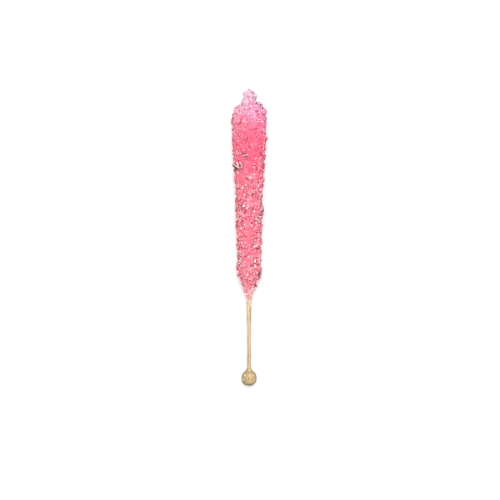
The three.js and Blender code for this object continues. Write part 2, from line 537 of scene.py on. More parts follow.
def combine(base: Thing, tool: Thing, operation: str) -> None:
    """Joins a closed mesh to another, or cuts it with one, and deletes the tool.

    Args:
        base: The mesh that is changed.
        tool: The other mesh.
        operation: UNION, DIFFERENCE or INTERSECT.
    """
    only(base)
    modifier = base.modifiers.new(operation, "BOOLEAN")
    modifier.operation = operation
    modifier.object = tool
    modifier.solver = "MANIFOLD"
    bpy.ops.object.modifier_apply(modifier=modifier.name)
    bpy.data.objects.remove(tool)


def rows_of(items: bpy.types.bpy_prop_collection, key: str, kind: type = np.float32) -> np.ndarray:
    """Reads three numbers for each vertex or face of a mesh.

    Args:
        items: The mesh's vertices, polygons or triangles.
        key: Which of their numbers.
        kind: The type that they are kept in.

    Returns:
        One row for each.
    """
    flat = np.empty(3 * len(items), kind)
    items.foreach_get(key, flat)
    return flat.reshape(-1, 3)


def corners_of(thing: Thing) -> np.ndarray:
    """Returns the places of a mesh's vertices, one row each."""
    return rows_of(thing.data.vertices, "co").astype(float)


def store(thing: Thing, **numbers: np.ndarray) -> None:
    """Stores numbers for the faces or the vertices of a mesh, by how many there are.

    Args:
        thing: The object.
        numbers: The numbers of each attribute, under its name.
    """
    mesh = thing.data
    for name, values in numbers.items():
        domain = "FACE" if len(values) == len(mesh.polygons) else "POINT"
        if name in mesh.attributes:
            mesh.attributes.remove(mesh.attributes[name])
        made = mesh.attributes.new(name, "FLOAT", domain)
        made.data.foreach_set("value", values.astype(np.float32))


def relief_of(thing: Thing, reach: float, full: float) -> np.ndarray:
    """Measures how far each vertex lies below the surface round it, or stands above.

    Args:
        thing: The object.
        reach: How far round it is looked, in metres.
        full: The depth that counts as 1, in metres.

    Returns:
        For each vertex, from 1 in a crevice to -1 on a peak.
    """
    points = corners_of(thing)
    normals = rows_of(thing.data.vertices, "normal")
    rows = np.hstack((points, normals, np.ones((len(points), 1))))
    cells = (points // reach).astype(np.int64)
    cells -= cells.min(0) - 1
    # numbers the cells, with room for 4096 of them along each axis
    strides = np.array((1, 1 << 12, 1 << 24))
    numbers = cells @ strides
    filled, home = np.unique(numbers, return_inverse=True)
    sums = np.stack([np.bincount(home, column) for column in rows.T], 1)
    total = np.zeros_like(rows)
    for step in np.ndindex(3, 3, 3):
        wanted = numbers + (np.array(step) - 1) @ strides
        spot = np.minimum(np.searchsorted(filled, wanted), len(filled) - 1)
        total += sums[spot] * (filled[spot] == wanted)[:, None]
    middle = total[:, :3] / total[:, 6:]
    outwards = total[:, 3:6] / np.linalg.norm(total[:, 3:6], axis=1, keepdims=True)
    return np.clip(((middle - points) * outwards).sum(1) / full, -1, 1)


def facet_numbers(thing: Thing) -> np.ndarray:
    """Returns for each face a number from 0 to 1, the same for all faces that lie alike."""
    normals = np.round(rows_of(thing.data.polygons, "normal"), 2)
    return (np.sin(normals @ MIXING_FACTORS) * MIXING_SPREAD) % 1


def dress(thing: Thing, material: bpy.types.Material, slot: str, *nodes: str) -> None:
    """Gives a finished piece its material and its place in the frame.

    Args:
        thing: The piece.
        material: Its material.
        slot: The record's material slot; not used.
        nodes: The CAD nodes that it stands for.
    """
    thing.data.materials.clear()
    thing.data.materials.append(material)
    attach(thing, "root")
    if nodes:
        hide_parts(*nodes)
    thing.data.calc_loop_triangles()
    LOG.info("%s: %d triangles", thing.name, len(thing.data.loop_triangles))


def ball_shape() -> tuple[Vector, float]:
    """Returns the middle of the CAD ball and its radius."""
    low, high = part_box("ball")
    return (low + high) / 2, (high.z - low.z) / 2


@dataclass(frozen=True)
class StickLine:
    """The line that the stick runs along.

    Attributes:
        start: The point at along = 0, the ball's outer end.
        way: The direction towards the tip.
    """

    start: Vector
    way: Vector

    @classmethod
    def from_frame(cls) -> "StickLine":
        """Finds the line through the middles of the CAD stick's two ends.

        Returns:
            The line.
        """
        corners = corners_of(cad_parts["stick"])
        near, far = corners[:, 1].min(), corners[:, 1].max()
        rim = 1 * MM
        first = Vector(corners[corners[:, 1] < near + rim].mean(0))
        last = Vector(corners[corners[:, 1] > far - rim].mean(0))
        way = (last - first).normalized()
        middle, radius = ball_shape()
        return cls(middle - way * radius, way)

    def at(self, along: float) -> Vector:
        """Returns the point on the line at that distance."""
        return self.start + self.way * along

    def measure(self, points: np.ndarray) -> tuple[np.ndarray, np.ndarray]:
        """Measures points from the line.

        Args:
            points: One row for each point.

        Returns:
            Their distances along the line, and their offsets from it, one row each.
        """
        relative = points - np.array(self.start)
        along = relative @ np.array(self.way)
        return along, relative - along[:, None] * np.array(self.way)

    def upness(self, thing: Thing) -> np.ndarray:
        """Returns for each vertex 1 where it is straight above the line, to -1 straight below."""
        _, offset = self.measure(corners_of(thing))
        return offset[:, 2] / np.maximum(np.linalg.norm(offset, axis=1), TINY)

    def turned(self, name: str, profile: Sequence[Pair], sides: int) -> Thing:
        """Models a closed turned piece round the line.

        Args:
            name: The piece's name.
            profile: Stations along the line and their radii.
            sides: How many sides it has.

        Returns:
            The piece, with its place applied.
        """
        turn = self.way.to_track_quat("Z", "Y").to_euler()
        first, radius = profile[0]
        bpy.ops.mesh.primitive_circle_add(
            vertices=sides, radius=radius, fill_type="NGON", location=self.at(first), rotation=turn
        )
        piece = bpy.context.object
        piece.name = name
        start_editing(piece)
        for along, wanted in profile[1:]:
            bpy.ops.mesh.extrude_region_move(
                TRANSFORM_OT_translate={"value": self.way * (along - first)}
            )
            share = wanted / radius
            bpy.ops.transform.resize(value=(share, share, share), center_override=self.at(along))
            first, radius = along, wanted
        bpy.ops.mesh.select_all(action="SELECT")
        bpy.ops.mesh.normals_make_consistent(inside=False)
        bpy.ops.object.mode_set(mode="OBJECT")
        apply_place(piece)
        return piece


# ---------- crystals ----------

Cuts = tuple[tuple[Triple, Triple], ...]


class Habit(Enum):
    """The shapes that sugar crystals grow in: a block one unit across, cut by planes.

    Each plane is a point on it and the direction that is cut away.
    """

    BLOCK = (
        ((0.34, 0.34, 0.0), (1.0, 1.0, 0.1)),
        ((-0.3, 0.0, 0.36), (-0.9, 0.1, 0.8)),
        ((0.0, -0.4, -0.3), (0.1, -0.7, -1.0)),
    )
    ROOF = (
        ((0.2, 0.3, 0.0), (0.8, 1.0, 0.0)),
        ((-0.2, 0.3, 0.0), (-0.8, 1.0, 0.1)),
        ((0.3, -0.35, 0.2), (1.0, -1.0, 0.5)),
    )
    PRISM = (
        ((0.36, 0.0, 0.36), (1.0, 0.0, 0.8)),
        ((-0.36, 0.0, 0.3), (-1.0, 0.0, 0.9)),
        ((0.1, 0.42, 0.1), (0.3, 1.0, 0.4)),
        ((-0.1, -0.42, 0.1), (-0.2, -1.0, 0.5)),
    )
    WEDGE = (
        ((0.0, 0.1, 0.25), (0.2, 0.6, 1.0)),
        ((0.38, -0.3, 0.0), (1.0, -0.5, -0.2)),
    )


TABLE_CUTS = (
    ((0.34, 0.0, 0.5), (1.0, 0.1, 0.8)),
    ((-0.36, 0.0, 0.5), (-1.0, 0.1, 0.8)),
    ((0.0, 0.38, 0.5), (0.1, 1.0, 0.7)),
    ((0.0, -0.36, 0.5), (-0.1, -1.0, 0.8)),
)


@dataclass(frozen=True)
class CrystalForm:
    """One modelled crystal, as arrays that are copied.

    Attributes:
        corners: Its vertices, in a cube one unit across.
        faces: Its triangles.
    """

    corners: np.ndarray
    faces: np.ndarray

    @classmethod
    def modelled(cls, cuts: Cuts) -> "CrystalForm":
        """Cuts a crystal out of a cube.

        Args:
            cuts: The planes.

        Returns:
            The form.
        """
        bpy.ops.mesh.primitive_cube_add(size=1)
        block = bpy.context.object
        start_editing(block)
        for point, outwards in cuts:
            bpy.ops.mesh.bisect(plane_co=point, plane_no=outwards, use_fill=True, clear_outer=True)
            bpy.ops.mesh.select_all(action="SELECT")
        bpy.ops.mesh.quads_convert_to_tris()
        bpy.ops.mesh.normals_make_consistent(inside=False)
        bpy.ops.object.mode_set(mode="OBJECT")
        form = cls(corners_of(block), np.array([face.vertices[:] for face in block.data.polygons]))
        bpy.data.objects.remove(block)
        return form


@dataclass(frozen=True)
class Growth:
    """How a crop of crystals grows.

    Attributes:
        tries: How many places are tried.
        size: The smallest, the usual and the largest, in metres.
        spacing: The least distance between two, as a share of their sizes together.
        proud: How far crystals stand out of the surface, least and most, in metres.
    """

    tries: int
    size: Triple
    spacing: float
    proud: Pair


def random_turns(count: int, rng: np.random.Generator) -> np.ndarray:
    """Draws turns in any direction.

    Args:
        count: How many.
        rng: The random numbers.

    Returns:
        One 3 by 3 matrix each.
    """
    quarters = rng.normal(size=(count, 4))
    w, x, y, z = (quarters / np.linalg.norm(quarters, axis=1, keepdims=True)).T
    rows = (
        (1 - 2 * (y * y + z * z), 2 * (x * y - z * w), 2 * (x * z + y * w)),
        (2 * (x * y + z * w), 1 - 2 * (x * x + z * z), 2 * (y * z - x * w)),
        (2 * (x * z - y * w), 2 * (y * z + x * w), 1 - 2 * (x * x + y * y)),
    )
    return np.stack([np.stack(row, -1) for row in rows], -2)


class Surface:
    """The outside of a mesh, as a place for crystals to grow."""

    def __init__(self, thing: Thing, line: StickLine) -> None:
        """Reads the triangles of a mesh, without those that face the line.

        Args:
            thing: The object.
            line: The stick's line, which runs through the object.
        """
        mesh = thing.data
        mesh.calc_loop_triangles()
        corners = corners_of(thing)[rows_of(mesh.loop_triangles, "vertices", np.int32)]
        normals = np.cross(corners[:, 1] - corners[:, 0], corners[:, 2] - corners[:, 0])
        areas = np.linalg.norm(normals, axis=1) / 2
        normals /= np.maximum(2 * areas[:, None], TINY)
        _, offset = line.measure(corners.mean(1))
        # the facets of a notch may face the line a little
        least = -0.3 * np.linalg.norm(offset, axis=1)
        outside = (normals * offset).sum(1) > least
        self.corners, self.normals = corners[outside], normals[outside]
        self.shares = areas[outside] / areas[outside].sum()

    def scattered(self, count: int, rng: np.random.Generator) -> tuple[np.ndarray, np.ndarray]:
        """Draws points spread evenly over the surface.

        Args:
            count: How many.
            rng: The random numbers.

        Returns:
            The points and the surface's normals there.
        """
        chosen = rng.choice(len(self.shares), count, p=self.shares)
        share = rng.dirichlet((1, 1, 1), count)
        return np.einsum("nc,nci->ni", share, self.corners[chosen]), self.normals[chosen]


@dataclass
class Crop:
    """A crop of crystals of one form.

    Attributes:
        form: The crystal that is copied.
        corners: The vertices of each copy.
        frost: How frosted each copy is.
    """

    form: CrystalForm
    corners: np.ndarray
    frost: np.ndarray

    def layers(self) -> list[np.ndarray]:
        """Sorts the crystals into layers in which none touches another.

        Returns:
            The crystals' numbers, layer by layer.
        """
        middles = self.corners.mean(1)
        reach = np.linalg.norm(self.corners - middles[:, None], axis=2).max(1)
        tree = KDTree(len(middles))
        for i, middle in enumerate(middles):
            tree.insert(middle, i)
        tree.balance()
        layer = np.full(len(middles), -1)
        for i, middle in enumerate(middles):
            near = tree.find_range(middle, reach[i] + reach.max())
            taken = {layer[j] for _, j, gap in near if gap < reach[i] + reach[j]}
            layer[i] = next(k for k in range(len(middles)) if k not in taken)
        return [np.flatnonzero(layer == k) for k in range(layer.max() + 1)]

    def mesh(self, name: str, members: np.ndarray) -> Thing:
        """Makes one mesh of some of the crystals.

        Args:
            name: Its name.
            members: The crystals' numbers.

        Returns:
            The object, with its frost stored on it.
        """
        each = len(self.form.corners)
        faces = self.form.faces[None] + (np.arange(len(members)) * each)[:, None, None]
        data = bpy.data.meshes.new(name)
        data.from_pydata(
            self.corners[members].reshape(-1, 3).tolist(), [], faces.reshape(-1, 3).tolist()
        )
        thing = placed(name, data)
        store(thing, frost=np.repeat(self.frost[members], len(self.form.faces)))
        return thing


# ---------- the sugar ----------


class Trend:
    """A number that changes along the stick."""

    def __init__(self, *stations: Pair) -> None:
        """Takes stations: millimetres along the stick and the number there."""
        self.along, self.values = np.array(stations).T

    def at(self, along: np.ndarray) -> np.ndarray:
        """Returns the numbers at places given in metres along the stick."""
        return np.interp(along / MM, self.along, self.values)


@dataclass
class Sugar:
    """The sugar: the CAD's crust and knob, grown over with smaller crystals.

    Attributes:
        line: The stick's line.
        knob_foot: Where the clear knob starts, in metres along the stick.
        foot: Where the thin glaze starts.
        medium: The crystals that cover the crust.
        knob_growth: The crystals on the knob.
        fine: The grains that lie on the crust.
        coarseness: How large crystals are, along the stick.
        standing: How far they stand out of the surface, along the stick.
        frosting: The share of them that is frosted.
        frostiness: How frosted those are, least and most.
        facet_shading: How much the painted lightness of facets differs, as light falling on them
            would make it.
        relief_shading: How strong the painted shade between crystals and the painted light on their
            peaks are.
        liveliness: How strong the painted sparkle is: glints and dark specks painted as facets seen
            inside the sugar.
        calming: Two values of upness, and how strong the painted sparkle is there.
        clear_share: The share of a frosted crystal's facets that stay clear.
        collars: The rings of crystals round the knob's neck: each one's place along, how far
            its crystals' middles are from the line, their size, and how many there are.
        glaze: Distances above the foot and the radii there, in millimetres, of the glaze and
            of the filling of the bore.
        seed: Of the random numbers.
    """

    line: StickLine
    knob_foot: float = 156.6 * MM
    foot: float = 47.3 * MM
    medium: Growth = Growth(30000, (0.7 * MM, 1.1 * MM, 2.0 * MM), 0.37, (0.05 * MM, 0.5 * MM))
    knob_growth: Growth = Growth(20000, (1.2 * MM, 1.9 * MM, 2.8 * MM), 0.3, (0.0, 0.3 * MM))
    fine: Growth = Growth(2400, (0.35 * MM, 0.55 * MM, 0.95 * MM), 0.4, (0.1 * MM, 0.35 * MM))
    coarseness: Trend = Trend((47, 0.7), (60, 0.9), (130, 0.98), (146, 1.1), (160, 1.2))
    standing: Trend = Trend((47, 0.1), (58, 0.3), (65, 1.0))
    frosting: Trend = Trend((47, 0.15), (100, 0.12), (118, 0.05), (145, 0.03), (152, 0.15))
    frostiness: Pair = (0.6, 1.0)
    facet_shading: Trend = Trend((47, 0.36), (110, 0.34), (122, 0.15), (145, 0.15), (152, 0.4))
    relief_shading: Trend = Trend(
        (47, 0.8), (108, 0.8), (120, 0.5), (145, 0.45),
        (152, 0.9), (156, 0.3), (159, 0.3), (161, 0.6),
    )
    liveliness: Trend = Trend(
        (47, 1.1), (60, 1.6), (80, 1.55), (95, 1.4),
        (112, 1.2), (125, 0.75), (148, 0.6), (152, 0.9),
    )
    calming: tuple[tuple[float, ...], ...] = ((0.5, 0.97), (1.2, 0.6))
    clear_share: float = 0.65
    collars: tuple[tuple[float, float, float, int], ...] = (
        (158.0 * MM, 2.5 * MM, 2.5 * MM, 9),
        (156.9 * MM, 3.0 * MM, 2.4 * MM, 10),
    )
    glaze: tuple[Pair, ...] = (
        (0.0, 1.5), (1.0, 1.62), (3.0, 1.9),
        (5.0, 2.5), (9.0, 2.6), (103.0, 2.6),
    )
    seed: int = 5

    def __post_init__(self) -> None:
        """Starts the random numbers, models the forms and measures the CAD crust."""
        self.rng = np.random.default_rng(self.seed)
        self.forms = [CrystalForm.modelled(habit.value) for habit in Habit]
        self.surface = Surface(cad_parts["sugar"], self.line)
        along, offset = self.line.measure(corners_of(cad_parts["sugar"]))
        radius = np.linalg.norm(offset, axis=1)
        self.tip = along.max()
        step, outer_share = 2.5 * MM, 97
        self.stations = np.arange(along.min(), along.max(), step)
        self.outline = np.array(
            [np.percentile(radius[abs(along - s) < step], outer_share) for s in self.stations]
        )

    def grow(self, growth: Growth, over: Pair, crust: Thing | None = None) -> list[Crop]:
        """Grows crystals on the CAD sugar.

        Args:
            growth: How they grow.
            over: The part of the stick that they grow on, in metres along it.
            crust: The mesh whose surface they sit on, if it isn't the CAD sugar itself.

        Returns:
            A crop for each form.
        """
        rng = self.rng
        points, normals = self.surface.scattered(growth.tries, rng)
        along, _ = self.line.measure(points)
        sizes = rng.triangular(*growth.size, growth.tries) * self.coarseness.at(along)
        here = (along > over[0]) & (along < over[1])
        kept = np.flatnonzero(here)[self._spaced(points[here], sizes[here], growth.spacing)]
        points, normals, sizes, along = points[kept], normals[kept], sizes[kept], along[kept]
        if crust:
            points, normals = self._dropped(points, normals, crust)
        proud = rng.uniform(*growth.proud, len(points)) * self.standing.at(along)
        frosted = rng.random(len(points)) < self.frosting.at(along)
        frost = np.where(frosted, rng.uniform(*self.frostiness, len(points)), 0.0)
        kind = rng.integers(len(self.forms), size=len(points))
        crops = []
        # a crystal's width, length and height, as shares of its size
        slimmest, fullest = (0.6, 0.99, 0.5), (0.95, 1.0, 0.85)
        for number, form in enumerate(self.forms):
            mine = np.flatnonzero(kind == number)
            shares = rng.uniform(slimmest, fullest, (len(mine), 3))
            scaled = form.corners[None] * (sizes[mine][:, None] * shares)[:, None]
            corners = np.einsum("nij,nkj->nki", random_turns(len(mine), rng), scaled)
            reach = np.einsum("nki,ni->nk", corners, normals[mine]).max(1)
            lift = points[mine] - normals[mine] * (reach - proud[mine])[:, None]
            corners = self._held_in(corners + lift[:, None])
            crops.append(Crop(form, corners, frost[mine]))
        return crops

    def collar(self, place: float, radius: float, size: float, count: int) -> Crop:
        """Sets a ring of clear crystals round the knob's neck.

        Args:
            place: Where it is, in metres along the stick.
            radius: How far the crystals' middles are from the line.
            size: How large they are.
            count: How many there are.

        Returns:
            The crystals.
        """
        form = self.forms[0]
        angles = np.arange(count) * 2 * math.pi / count
        side = Vector((0, 0, 1)).cross(self.line.way).normalized()
        out = np.outer(np.cos(angles), side) + np.outer(np.sin(angles), self.line.way.cross(side))
        middles = np.array(self.line.at(place)) + out * radius
        turns = random_turns(count, np.random.default_rng(self.seed))
        corners = np.einsum("nij,kj->nki", turns, form.corners * size)
        return Crop(form, corners + middles[:, None], np.zeros(count))

    def _dropped(
        self, points: np.ndarray, normals: np.ndarray, crust: Thing
    ) -> tuple[np.ndarray, np.ndarray]:
        """Moves places along their normals to the surface of the crust.

        Args:
            points: The places.
            normals: The way out of the surface there.
            crust: The mesh.

        Returns:
            The places on the crust and its normals there.
        """
        high = 3 * MM
        moved, turned = points.copy(), normals.copy()
        for i, (point, normal) in enumerate(zip(points, normals)):
            found, hit, facing, _ = crust.ray_cast(point + normal * high, -normal, distance=high)
            if found:
                moved[i], turned[i] = hit, facing
        return moved, turned

    def _spaced(self, points: np.ndarray, sizes: np.ndarray, spacing: float) -> list[int]:
        """Picks places that aren't too near to an earlier one.

        Args:
            points: The places tried.
            sizes: The crystals' sizes.
            spacing: The least distance, as a share of two sizes together.

        Returns:
            The numbers of the places kept.
        """
        kept: list[int] = []
        taken, widths = np.empty_like(points), np.empty_like(sizes)
        for i, (point, size) in enumerate(zip(points, sizes)):
            count = len(kept)
            gaps = np.linalg.norm(taken[:count] - point, axis=1)
            if (gaps >= spacing * (widths[:count] + size)).all():
                taken[count], widths[count] = point, size
                kept.append(i)
        return kept

    def _held_in(self, corners: np.ndarray) -> np.ndarray:
        """Pushes crystals in that stand further out than the crust does, or past its tip.

        Args:
            corners: The vertices of each crystal.

        Returns:
            The same, moved.
        """
        count, each, _ = corners.shape
        along, offset = self.line.measure(corners.reshape(-1, 3))
        radius = np.linalg.norm(offset, axis=1)
        allowed = np.interp(along, self.stations, self.outline)
        over = (radius - allowed).reshape(count, each)
        worst = over.argmax(1)
        excess = np.maximum(over[np.arange(count), worst], 0)
        outwards = (offset / np.maximum(radius, TINY)[:, None]).reshape(count, each, 3)
        inwards = outwards[np.arange(count), worst] * excess[:, None]
        past = np.maximum(along.reshape(count, each).max(1) - self.tip, 0)
        return corners - (inwards + past[:, None] * np.array(self.line.way))[:, None]

    def fuse(self, base: Thing, crops: Sequence[Crop]) -> None:
        """Joins crops to a mesh as one closed solid, cut off flat at the floor.

        Args:
            base: The mesh that they grow on.
            crops: The crystals.
        """
        for crop in crops:
            for members in crop.layers():
                combine(base, crop.mesh("layer", members), "UNION")
        wide, deep = 400 * MM, 30 * MM
        bpy.ops.mesh.primitive_cube_add(size=1, location=(0, 0, -deep / 2), scale=(wide, wide, deep))
        underground = bpy.context.object
        apply_place(underground)
        combine(base, underground, "DIFFERENCE")

    def ground(self) -> Thing:
        """Copies the CAD sugar, with its bore filled and the glaze at its foot added.

        Returns:
            The closed mesh.
        """
        piece = placed("rock_sugar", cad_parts["sugar"].data.copy())
        start_editing(piece)
        bpy.ops.mesh.remove_doubles(threshold=0.0001 * MM)
        bpy.ops.object.mode_set(mode="OBJECT")
        store(piece, frost=np.zeros(len(piece.data.polygons)))
        profile = [(self.foot + along * MM, radius * MM) for along, radius in self.glaze]
        combine(piece, self.line.turned("filling", profile, sides=24), "UNION")
        return piece

    def split_knob(self, crust: Thing) -> Thing:
        """Cuts the knob off the crust.

        Args:
            crust: The whole sugar; what is left of it is the crust.

        Returns:
            The knob.
        """
        knob = placed("clear_knob", crust.data.copy())
        wide, overlap = 20 * MM, 0.6 * MM
        above = (self.knob_foot, self.knob_foot + 20 * MM)
        below = (self.foot - 10 * MM, self.knob_foot + overlap)
        for piece, ends in ((knob, above), (crust, below)):
            half = self.line.turned("half", [(end, wide) for end in ends], sides=8)
            combine(piece, half, "INTERSECT")
        return knob

    def finish(self, piece: Thing, finish: SugarFinish) -> None:
        """Stores the relief and the facets of a piece, and dresses it.

        Args:
            piece: The piece.
            finish: Its finish.
        """
        along, _ = self.line.measure(corners_of(piece))
        upness = self.line.upness(piece)
        # the painted sparkle is calmer on top and livelier on the sides
        calm = np.interp(upness, *self.calming)
        # relief drives the painted shade in crevices and the painted light on peaks
        relief = relief_of(piece, reach=0.45 * MM, full=0.25 * MM) * self.relief_shading.at(along)
        store(piece, relief=relief, upness=upness, liveliness=self.liveliness.at(along) * calm)
        along, _ = self.line.measure(rows_of(piece.data.polygons, "center"))
        frost = np.empty(len(along), np.float32)
        piece.data.attributes["frost"].data.foreach_get("value", frost)
        numbers = facet_numbers(piece)
        # each facet gets a painted lightness, the same for facets that face alike
        facet = 1 + (numbers - 0.5) * (self.facet_shading.at(along) * (1 + frost))
        store(piece, facet=facet, frost=frost * (numbers > self.clear_share))
        dress(piece, finish.material(), "sugar", "sugar")

    def build(self) -> None:
        """Builds and dresses the crust, the knob, the loose grains and the clear crystals."""
        crust = self.ground()
        knob = self.split_knob(crust)
        below, above = (self.foot, self.knob_foot), (self.knob_foot, self.tip - 2 * MM)
        self.fuse(crust, self.grow(self.medium, below))
        rings = [self.collar(*ring) for ring in self.collars]
        self.fuse(knob, [*rings, *self.grow(self.knob_growth, above)])
        grains = [
            crop.mesh("grains", np.flatnonzero(crop.corners[:, :, 2].min(1) > 0))
            for crop in self.grow(self.fine, below, crust)
        ]
        only(grains[0])
        for other in grains:
            other.select_set(True)
        bpy.ops.object.join()
        grains[0].name = "loose_grains"
        clear = ClearCrystals(self.line).modelled(crust, knob)
        self.finish(crust, PINK_SUGAR)
        self.finish(grains[0], PINK_SUGAR)
        self.finish(knob, CLEAR_SUGAR)
        dress(clear, GLINTING_SUGAR.material(), "sugar", "sugar")


@dataclass
class ClearCrystals:
    """The thin slabs on the upper side: light ones with painted glints on their tops, dark ones
    painted as shade.

    Attributes:
        line: The stick's line.
        facing: The way that the top facets of the light ones face.
        averted: The same for the dark ones, which turn away from the light.
        lightness: How light their facets are painted, least and most.
        shade: The share of that which the painted dark top of a dark one keeps.
        slab_side_shade: How dark the painted shade on the sides of each is.
    """

    line: StickLine
    facing: Triple = (0.04, 0.32, 0.95)
    averted: Triple = (0.0, -0.35, 0.94)
    lightness: Pair = (0.9, 1.1)
    shade: float = 0.35
    slab_side_shade: float = 0.8

    def modelled(self, *hosts: Thing) -> Thing:
        """Models them on the sugar.

        Args:
            hosts: The meshes that they may sit on.

        Returns:
            One object with all of them.
        """
        form = CrystalForm.modelled(TABLE_CUTS)
        corners = [self._set_down(form, place, hosts) for place in CLEAR_PLACES]
        count, each = len(corners), len(form.corners)
        crop = Crop(form, np.array(corners), np.ones(count))
        thing = crop.mesh("clear_crystals", np.arange(count))
        top, slack = form.corners[:, 2].max(), 0.01
        on_top = form.corners[:, 2] > top - slack
        top_faces = np.tile(on_top[form.faces].all(1), count)
        depth, blush = np.array([(place.depth, place.blush) for place in CLEAR_PLACES]).T
        shaded = top_faces & np.repeat(depth > 0, len(form.faces))
        darkest, lightest = self.lightness
        facet = darkest + (lightest - darkest) * facet_numbers(thing)
        # the light tops are painted glints; the dark tops and all the sides are painted shade
        store(
            thing,
            frost=np.where(top_faces, np.repeat(blush, len(form.faces)), 1.0),
            facet=np.where(shaded, self.shade, 1.0) * facet,
            relief=np.where(np.tile(on_top, count), np.repeat(depth, each), self.slab_side_shade),
            upness=np.ones(count * each),
            liveliness=np.zeros(count * each),
        )
        return thing

    def _set_down(
        self, form: CrystalForm, place: "ClearPlace", hosts: Sequence[Thing]
    ) -> np.ndarray:
        """Sets one of them down on the sugar.

        Args:
            form: The crystal.
            place: Where it sits.
            hosts: The meshes that it may sit on.

        Returns:
            Its vertices.
        """
        high = 100 * MM
        spot = self.line.at(place.along * MM)
        above = Vector((spot.x + place.aside * MM, spot.y, high))
        casts = [host.ray_cast(above, Vector((0, 0, -1))) for host in hosts]
        hits = [(hit, normal) for found, hit, normal, _ in casts if found]
        if not hits:
            raise ValueError(f"no sugar at {place}")
        hit, normal = max(hits, key=lambda pair: pair[0].z)
        size = np.array((place.width, place.length, place.height)) * MM
        turn = math.radians(place.turn)
        side = Vector((math.cos(turn), math.sin(turn), 0))
        wanted = self.facing if place.depth < 0 else self.averted
        up = (Vector(wanted) * 2 + normal).normalized()
        side = (side - up * side.dot(up)).normalized()
        axes = np.array((side, up.cross(side), up))
        lift = place.proud * MM - size[2] / 2
        return (form.corners * size) @ axes + np.array(hit) + lift * np.array(up)


@dataclass(frozen=True)
class ClearPlace:
    """Where one clear crystal sits, in millimetres.

    Attributes:
        along: Its place along the stick.
        aside: Its place to the right of the stick.
        width: Its width.
        length: Its length.
        turn: How its length is turned, in degrees.
        height: Its height.
        proud: How far it stands out of the crust.
        depth: How deep its top looks, from -1 for a painted white glint to 1 for painted shade.
        blush: How pink it is.
    """

    along: float
    aside: float
    width: float
    length: float
    turn: float = 0.0
    height: float = 1.4
    proud: float = 0.35
    depth: float = -1.0
    blush: float = 0.0


def shade(along: float, aside: float, width: float, length: float, turn: float = 0.0) -> ClearPlace:
    """Returns the place of a dark slab of painted shade, in millimetres and degrees."""
    return ClearPlace(along, aside, width, length, turn, depth=0.9, blush=0.2)


def glint(along: float, aside: float, long: float, lean: float) -> tuple[ClearPlace, ...]:
    """Sets two light slabs of painted glints side by side, with a dark one of painted shade between
    them.

    Args:
        along: Where their middle is, in millimetres along the stick.
        aside: The same, to the right of it.
        long: How long they are.
        lean: Which way they run, in degrees from the right.

    Returns:
        Their places.
    """
    step, light, dark, shorter = 0.55, 0.65, 0.45, 0.8
    across = Vector((-math.sin(math.radians(lean)), math.cos(math.radians(lean))))
    near, far = across * -step, across * step
    return (
        ClearPlace(along + near.y, aside + near.x, light, long, lean - 90),
        shade(along, aside, dark, long, lean - 90),
        ClearPlace(along + far.y, aside + far.x, light, shorter * long, lean - 90),
    )


# ---------- the wood ----------


@dataclass
class Stick:
    """The birch stick, from inside the ball to inside the sugar.

    Attributes:
        line: The stick's line.
        start: Its lower end, in metres along.
        end: Where it ends inside the sugar.
        widths: Its radius in millimetres along the stick.
        staining: How far the sugar's pink has stained it.
        sides: How many sides it has.
        rings: How many rings it has.
    """

    line: StickLine
    start: float = 3 * MM
    end: float = 60 * MM
    widths: Trend = Trend((3, 1.2), (30, 1.25), (47, 1.45))
    staining: Trend = Trend((44, 0.0), (46.5, 0.2), (47.5, 0.6))
    sides: int = 40
    rings: int = 40

    def build(self) -> None:
        """Builds and dresses the stick."""
        stations = np.linspace(self.start, self.end, self.rings)
        profile = list(zip(stations, self.widths.at(stations) * MM))
        piece = self.line.turned("birch_stick", profile, self.sides)
        start_editing(piece)
        bpy.ops.transform.vertex_random(offset=0.02 * MM, normal=1.0, seed=3)
        bpy.ops.object.mode_set(mode="OBJECT")
        bpy.ops.object.shade_smooth_by_angle(angle=math.radians(50))
        along, _ = self.line.measure(corners_of(piece))
        # upness places the painted shade on the stick's sides
        store(piece, upness=self.line.upness(piece), stain=self.staining.at(along))
        dress(piece, BIRCH.material(), "stick_wood", "stick")


